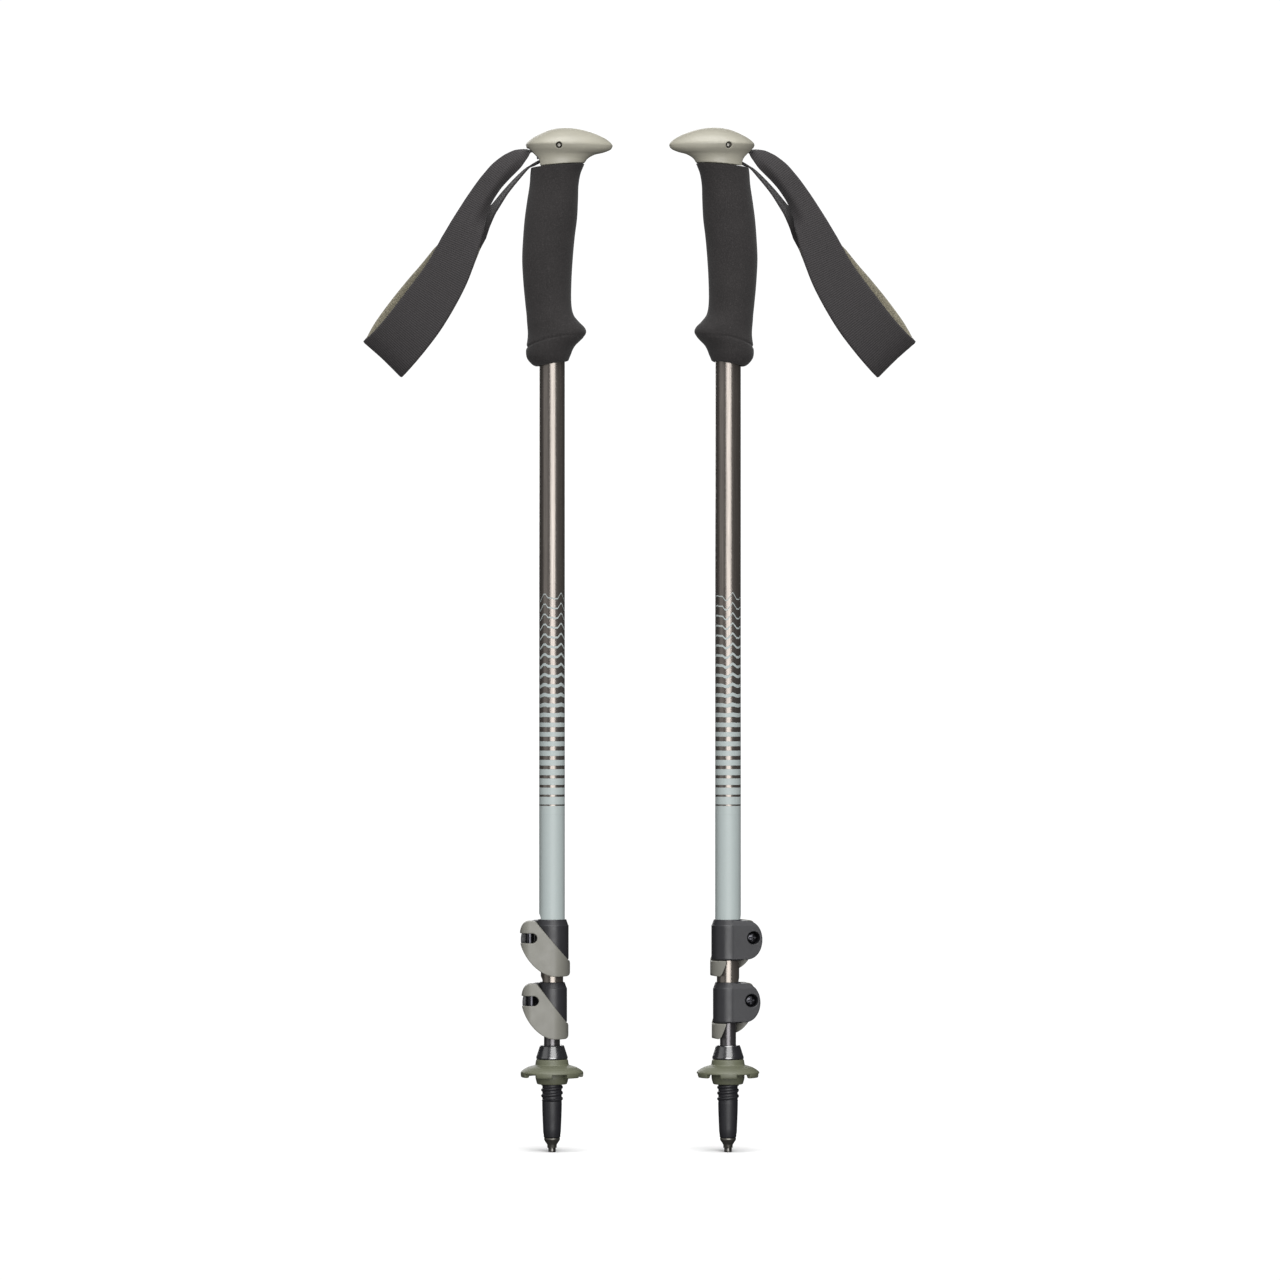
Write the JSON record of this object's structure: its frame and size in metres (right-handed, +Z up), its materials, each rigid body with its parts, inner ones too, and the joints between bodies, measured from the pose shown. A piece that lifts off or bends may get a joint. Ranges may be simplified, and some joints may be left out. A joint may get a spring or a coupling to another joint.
{
  "type": "trekking poles",
  "caption": "Telescoping aluminium trekking poles, closed up, with lever clamps, foam grips with beaked caps, wrist straps, mud baskets and carbide tips.",
  "frame": {"origin": "middle of the left pole's foam grip, on its shaft's axis, where a hand holds it", "axes": "+Z up along both shafts; +X from the left pole to the right one, across the flat pair; +Y away from the viewer"},
  "size_m": [0.3495, 0.0405, 0.64],
  "materials": {
    "cap_plastic": "fine moulded texture, semi-matt",
    "foam": "matt closed-cell foam",
    "webbing": "ribbed nylon webbing",
    "lining": "soft brushed padding",
    "painted_shaft": "satin paint fading to a dark metallic",
    "black_shaft": "black anodised, satin",
    "collar_plastic": "moulded, semi-matt",
    "lever_plastic": "moulded, semi-matt",
    "basket_plastic": "moulded, semi-matt",
    "tip_plastic": "moulded, matt",
    "gloss_plastic": "moulded, glossy",
    "nylon": "moulded, matt",
    "steel": "turned, satin",
    "black_steel": "black oxide, satin",
    "carbide": "ground"
  },
  "bodies": {
    "left_upper": {"left_grip_cap": "cap_plastic", "left_grip_foam": "foam", "left_strap_pin": "steel", "left_strap_anchor": "webbing", "left_strap_wedge": "nylon", "left_upper_shaft": "painted_shaft", "left_upper_collar": "collar_plastic", "left_upper_barrel_nut": "black_steel"},
    "left_strap": {"left_strap_webbing": "webbing", "left_strap_lining": "lining"},
    "left_upper_lever": {"left_upper_lever": "lever_plastic"},
    "left_upper_screw": {"left_upper_clamp_screw": "black_steel"},
    "left_middle": {"left_middle_shaft": "black_shaft", "left_middle_bushing": "nylon", "left_lower_collar": "collar_plastic", "left_lower_barrel_nut": "black_steel"},
    "left_lower_lever": {"left_lower_lever": "lever_plastic"},
    "left_lower_screw": {"left_lower_clamp_screw": "black_steel"},
    "left_lower": {"left_lower_shaft": "black_shaft", "left_lower_bushing": "nylon", "left_tip_ferrule": "gloss_plastic", "left_flex_tip": "tip_plastic", "left_tip_holder": "steel", "left_carbide_point": "carbide"},
    "left_basket": {"left_basket": "basket_plastic"},
    "right_upper": {"right_grip_cap": "cap_plastic", "right_grip_foam": "foam", "right_strap_pin": "steel", "right_strap_anchor": "webbing", "right_strap_wedge": "nylon", "right_upper_shaft": "painted_shaft", "right_upper_collar": "collar_plastic", "right_upper_barrel_nut": "black_steel"},
    "right_strap": {"right_strap_webbing": "webbing", "right_strap_lining": "lining"},
    "right_upper_lever": {"right_upper_lever": "lever_plastic"},
    "right_upper_screw": {"right_upper_clamp_screw": "black_steel"},
    "right_middle": {"right_middle_shaft": "black_shaft", "right_middle_bushing": "nylon", "right_lower_collar": "collar_plastic", "right_lower_barrel_nut": "black_steel"},
    "right_lower_lever": {"right_lower_lever": "lever_plastic"},
    "right_lower_screw": {"right_lower_clamp_screw": "black_steel"},
    "right_lower": {"right_lower_shaft": "black_shaft", "right_lower_bushing": "nylon", "right_tip_ferrule": "gloss_plastic", "right_flex_tip": "tip_plastic", "right_tip_holder": "steel", "right_carbide_point": "carbide"},
    "right_basket": {"right_basket": "basket_plastic"}
  },
  "joints": [
    {"name": "right_pole_apart", "type": "slide", "parent": "left_upper", "child": "right_upper", "axis": [1, 0, 0], "range_m": [-0.02, 0.3]},
    {"name": "left_strap_swing", "type": "hinge", "parent": "left_upper", "child": "left_strap", "pos_m": [-0.013, 0, 0.065], "axis": [0, 1, 0], "range_deg": [-8, 30]},
    {"name": "left_upper_lever_open", "type": "hinge", "parent": "left_upper", "child": "left_upper_lever", "pos_m": [-0.0138, -0.0082, -0.4219], "axis": [0, 0, -1], "range_deg": [0, 110]},
    {"name": "left_upper_screw_turn", "type": "hinge", "parent": "left_upper", "child": "left_upper_screw", "pos_m": [-0.0138, 0.006, -0.4219], "axis": [0, 1, 0], "continuous": true},
    {"name": "left_lower_lever_open", "type": "hinge", "parent": "left_middle", "child": "left_lower_lever", "pos_m": [-0.0128, -0.0072, -0.4611], "axis": [0, 0, -1], "range_deg": [0, 110]},
    {"name": "left_lower_screw_turn", "type": "hinge", "parent": "left_middle", "child": "left_lower_screw", "pos_m": [-0.0128, 0.006, -0.4611], "axis": [0, 1, 0], "continuous": true},
    {"name": "left_middle_slide", "type": "slide", "parent": "left_upper", "child": "left_middle", "axis": [0, 0, -1], "range_m": [0, 0.38]},
    {"name": "left_lower_slide", "type": "slide", "parent": "left_middle", "child": "left_lower", "axis": [0, 0, -1], "range_m": [0, 0.38]},
    {"name": "left_basket_off", "type": "slide", "parent": "left_lower", "child": "left_basket", "axis": [0, 0, -1], "range_m": [0, 0.065]},
    {"name": "right_strap_swing", "type": "hinge", "parent": "right_upper", "child": "right_strap", "pos_m": [0.12256, 0.00336, 0.065], "axis": [0, -1, 0], "range_deg": [-8, 30]},
    {"name": "right_upper_lever_open", "type": "hinge", "parent": "right_upper", "child": "right_upper_lever", "pos_m": [0.12121, 0.01149, -0.4219], "axis": [0, 0, -1], "range_deg": [0, 110]},
    {"name": "right_upper_screw_turn", "type": "hinge", "parent": "right_upper", "child": "right_upper_screw", "pos_m": [0.12488, -0.00222, -0.4219], "axis": [0.2588, -0.9659, 0], "continuous": true},
    {"name": "right_lower_lever_open", "type": "hinge", "parent": "right_middle", "child": "right_lower_lever", "pos_m": [0.1205, 0.01027, -0.4611], "axis": [0, 0, -1], "range_deg": [0, 110]},
    {"name": "right_lower_screw_turn", "type": "hinge", "parent": "right_middle", "child": "right_lower_screw", "pos_m": [0.12392, -0.00248, -0.4611], "axis": [0.2588, -0.9659, 0], "continuous": true},
    {"name": "right_middle_slide", "type": "slide", "parent": "right_upper", "child": "right_middle", "axis": [0, 0, -1], "range_m": [0, 0.38]},
    {"name": "right_lower_slide", "type": "slide", "parent": "right_middle", "child": "right_lower", "axis": [0, 0, -1], "range_m": [0, 0.38]},
    {"name": "right_basket_off", "type": "slide", "parent": "right_lower", "child": "right_basket", "axis": [0, 0, -1], "range_m": [0, 0.065]}
  ]
}
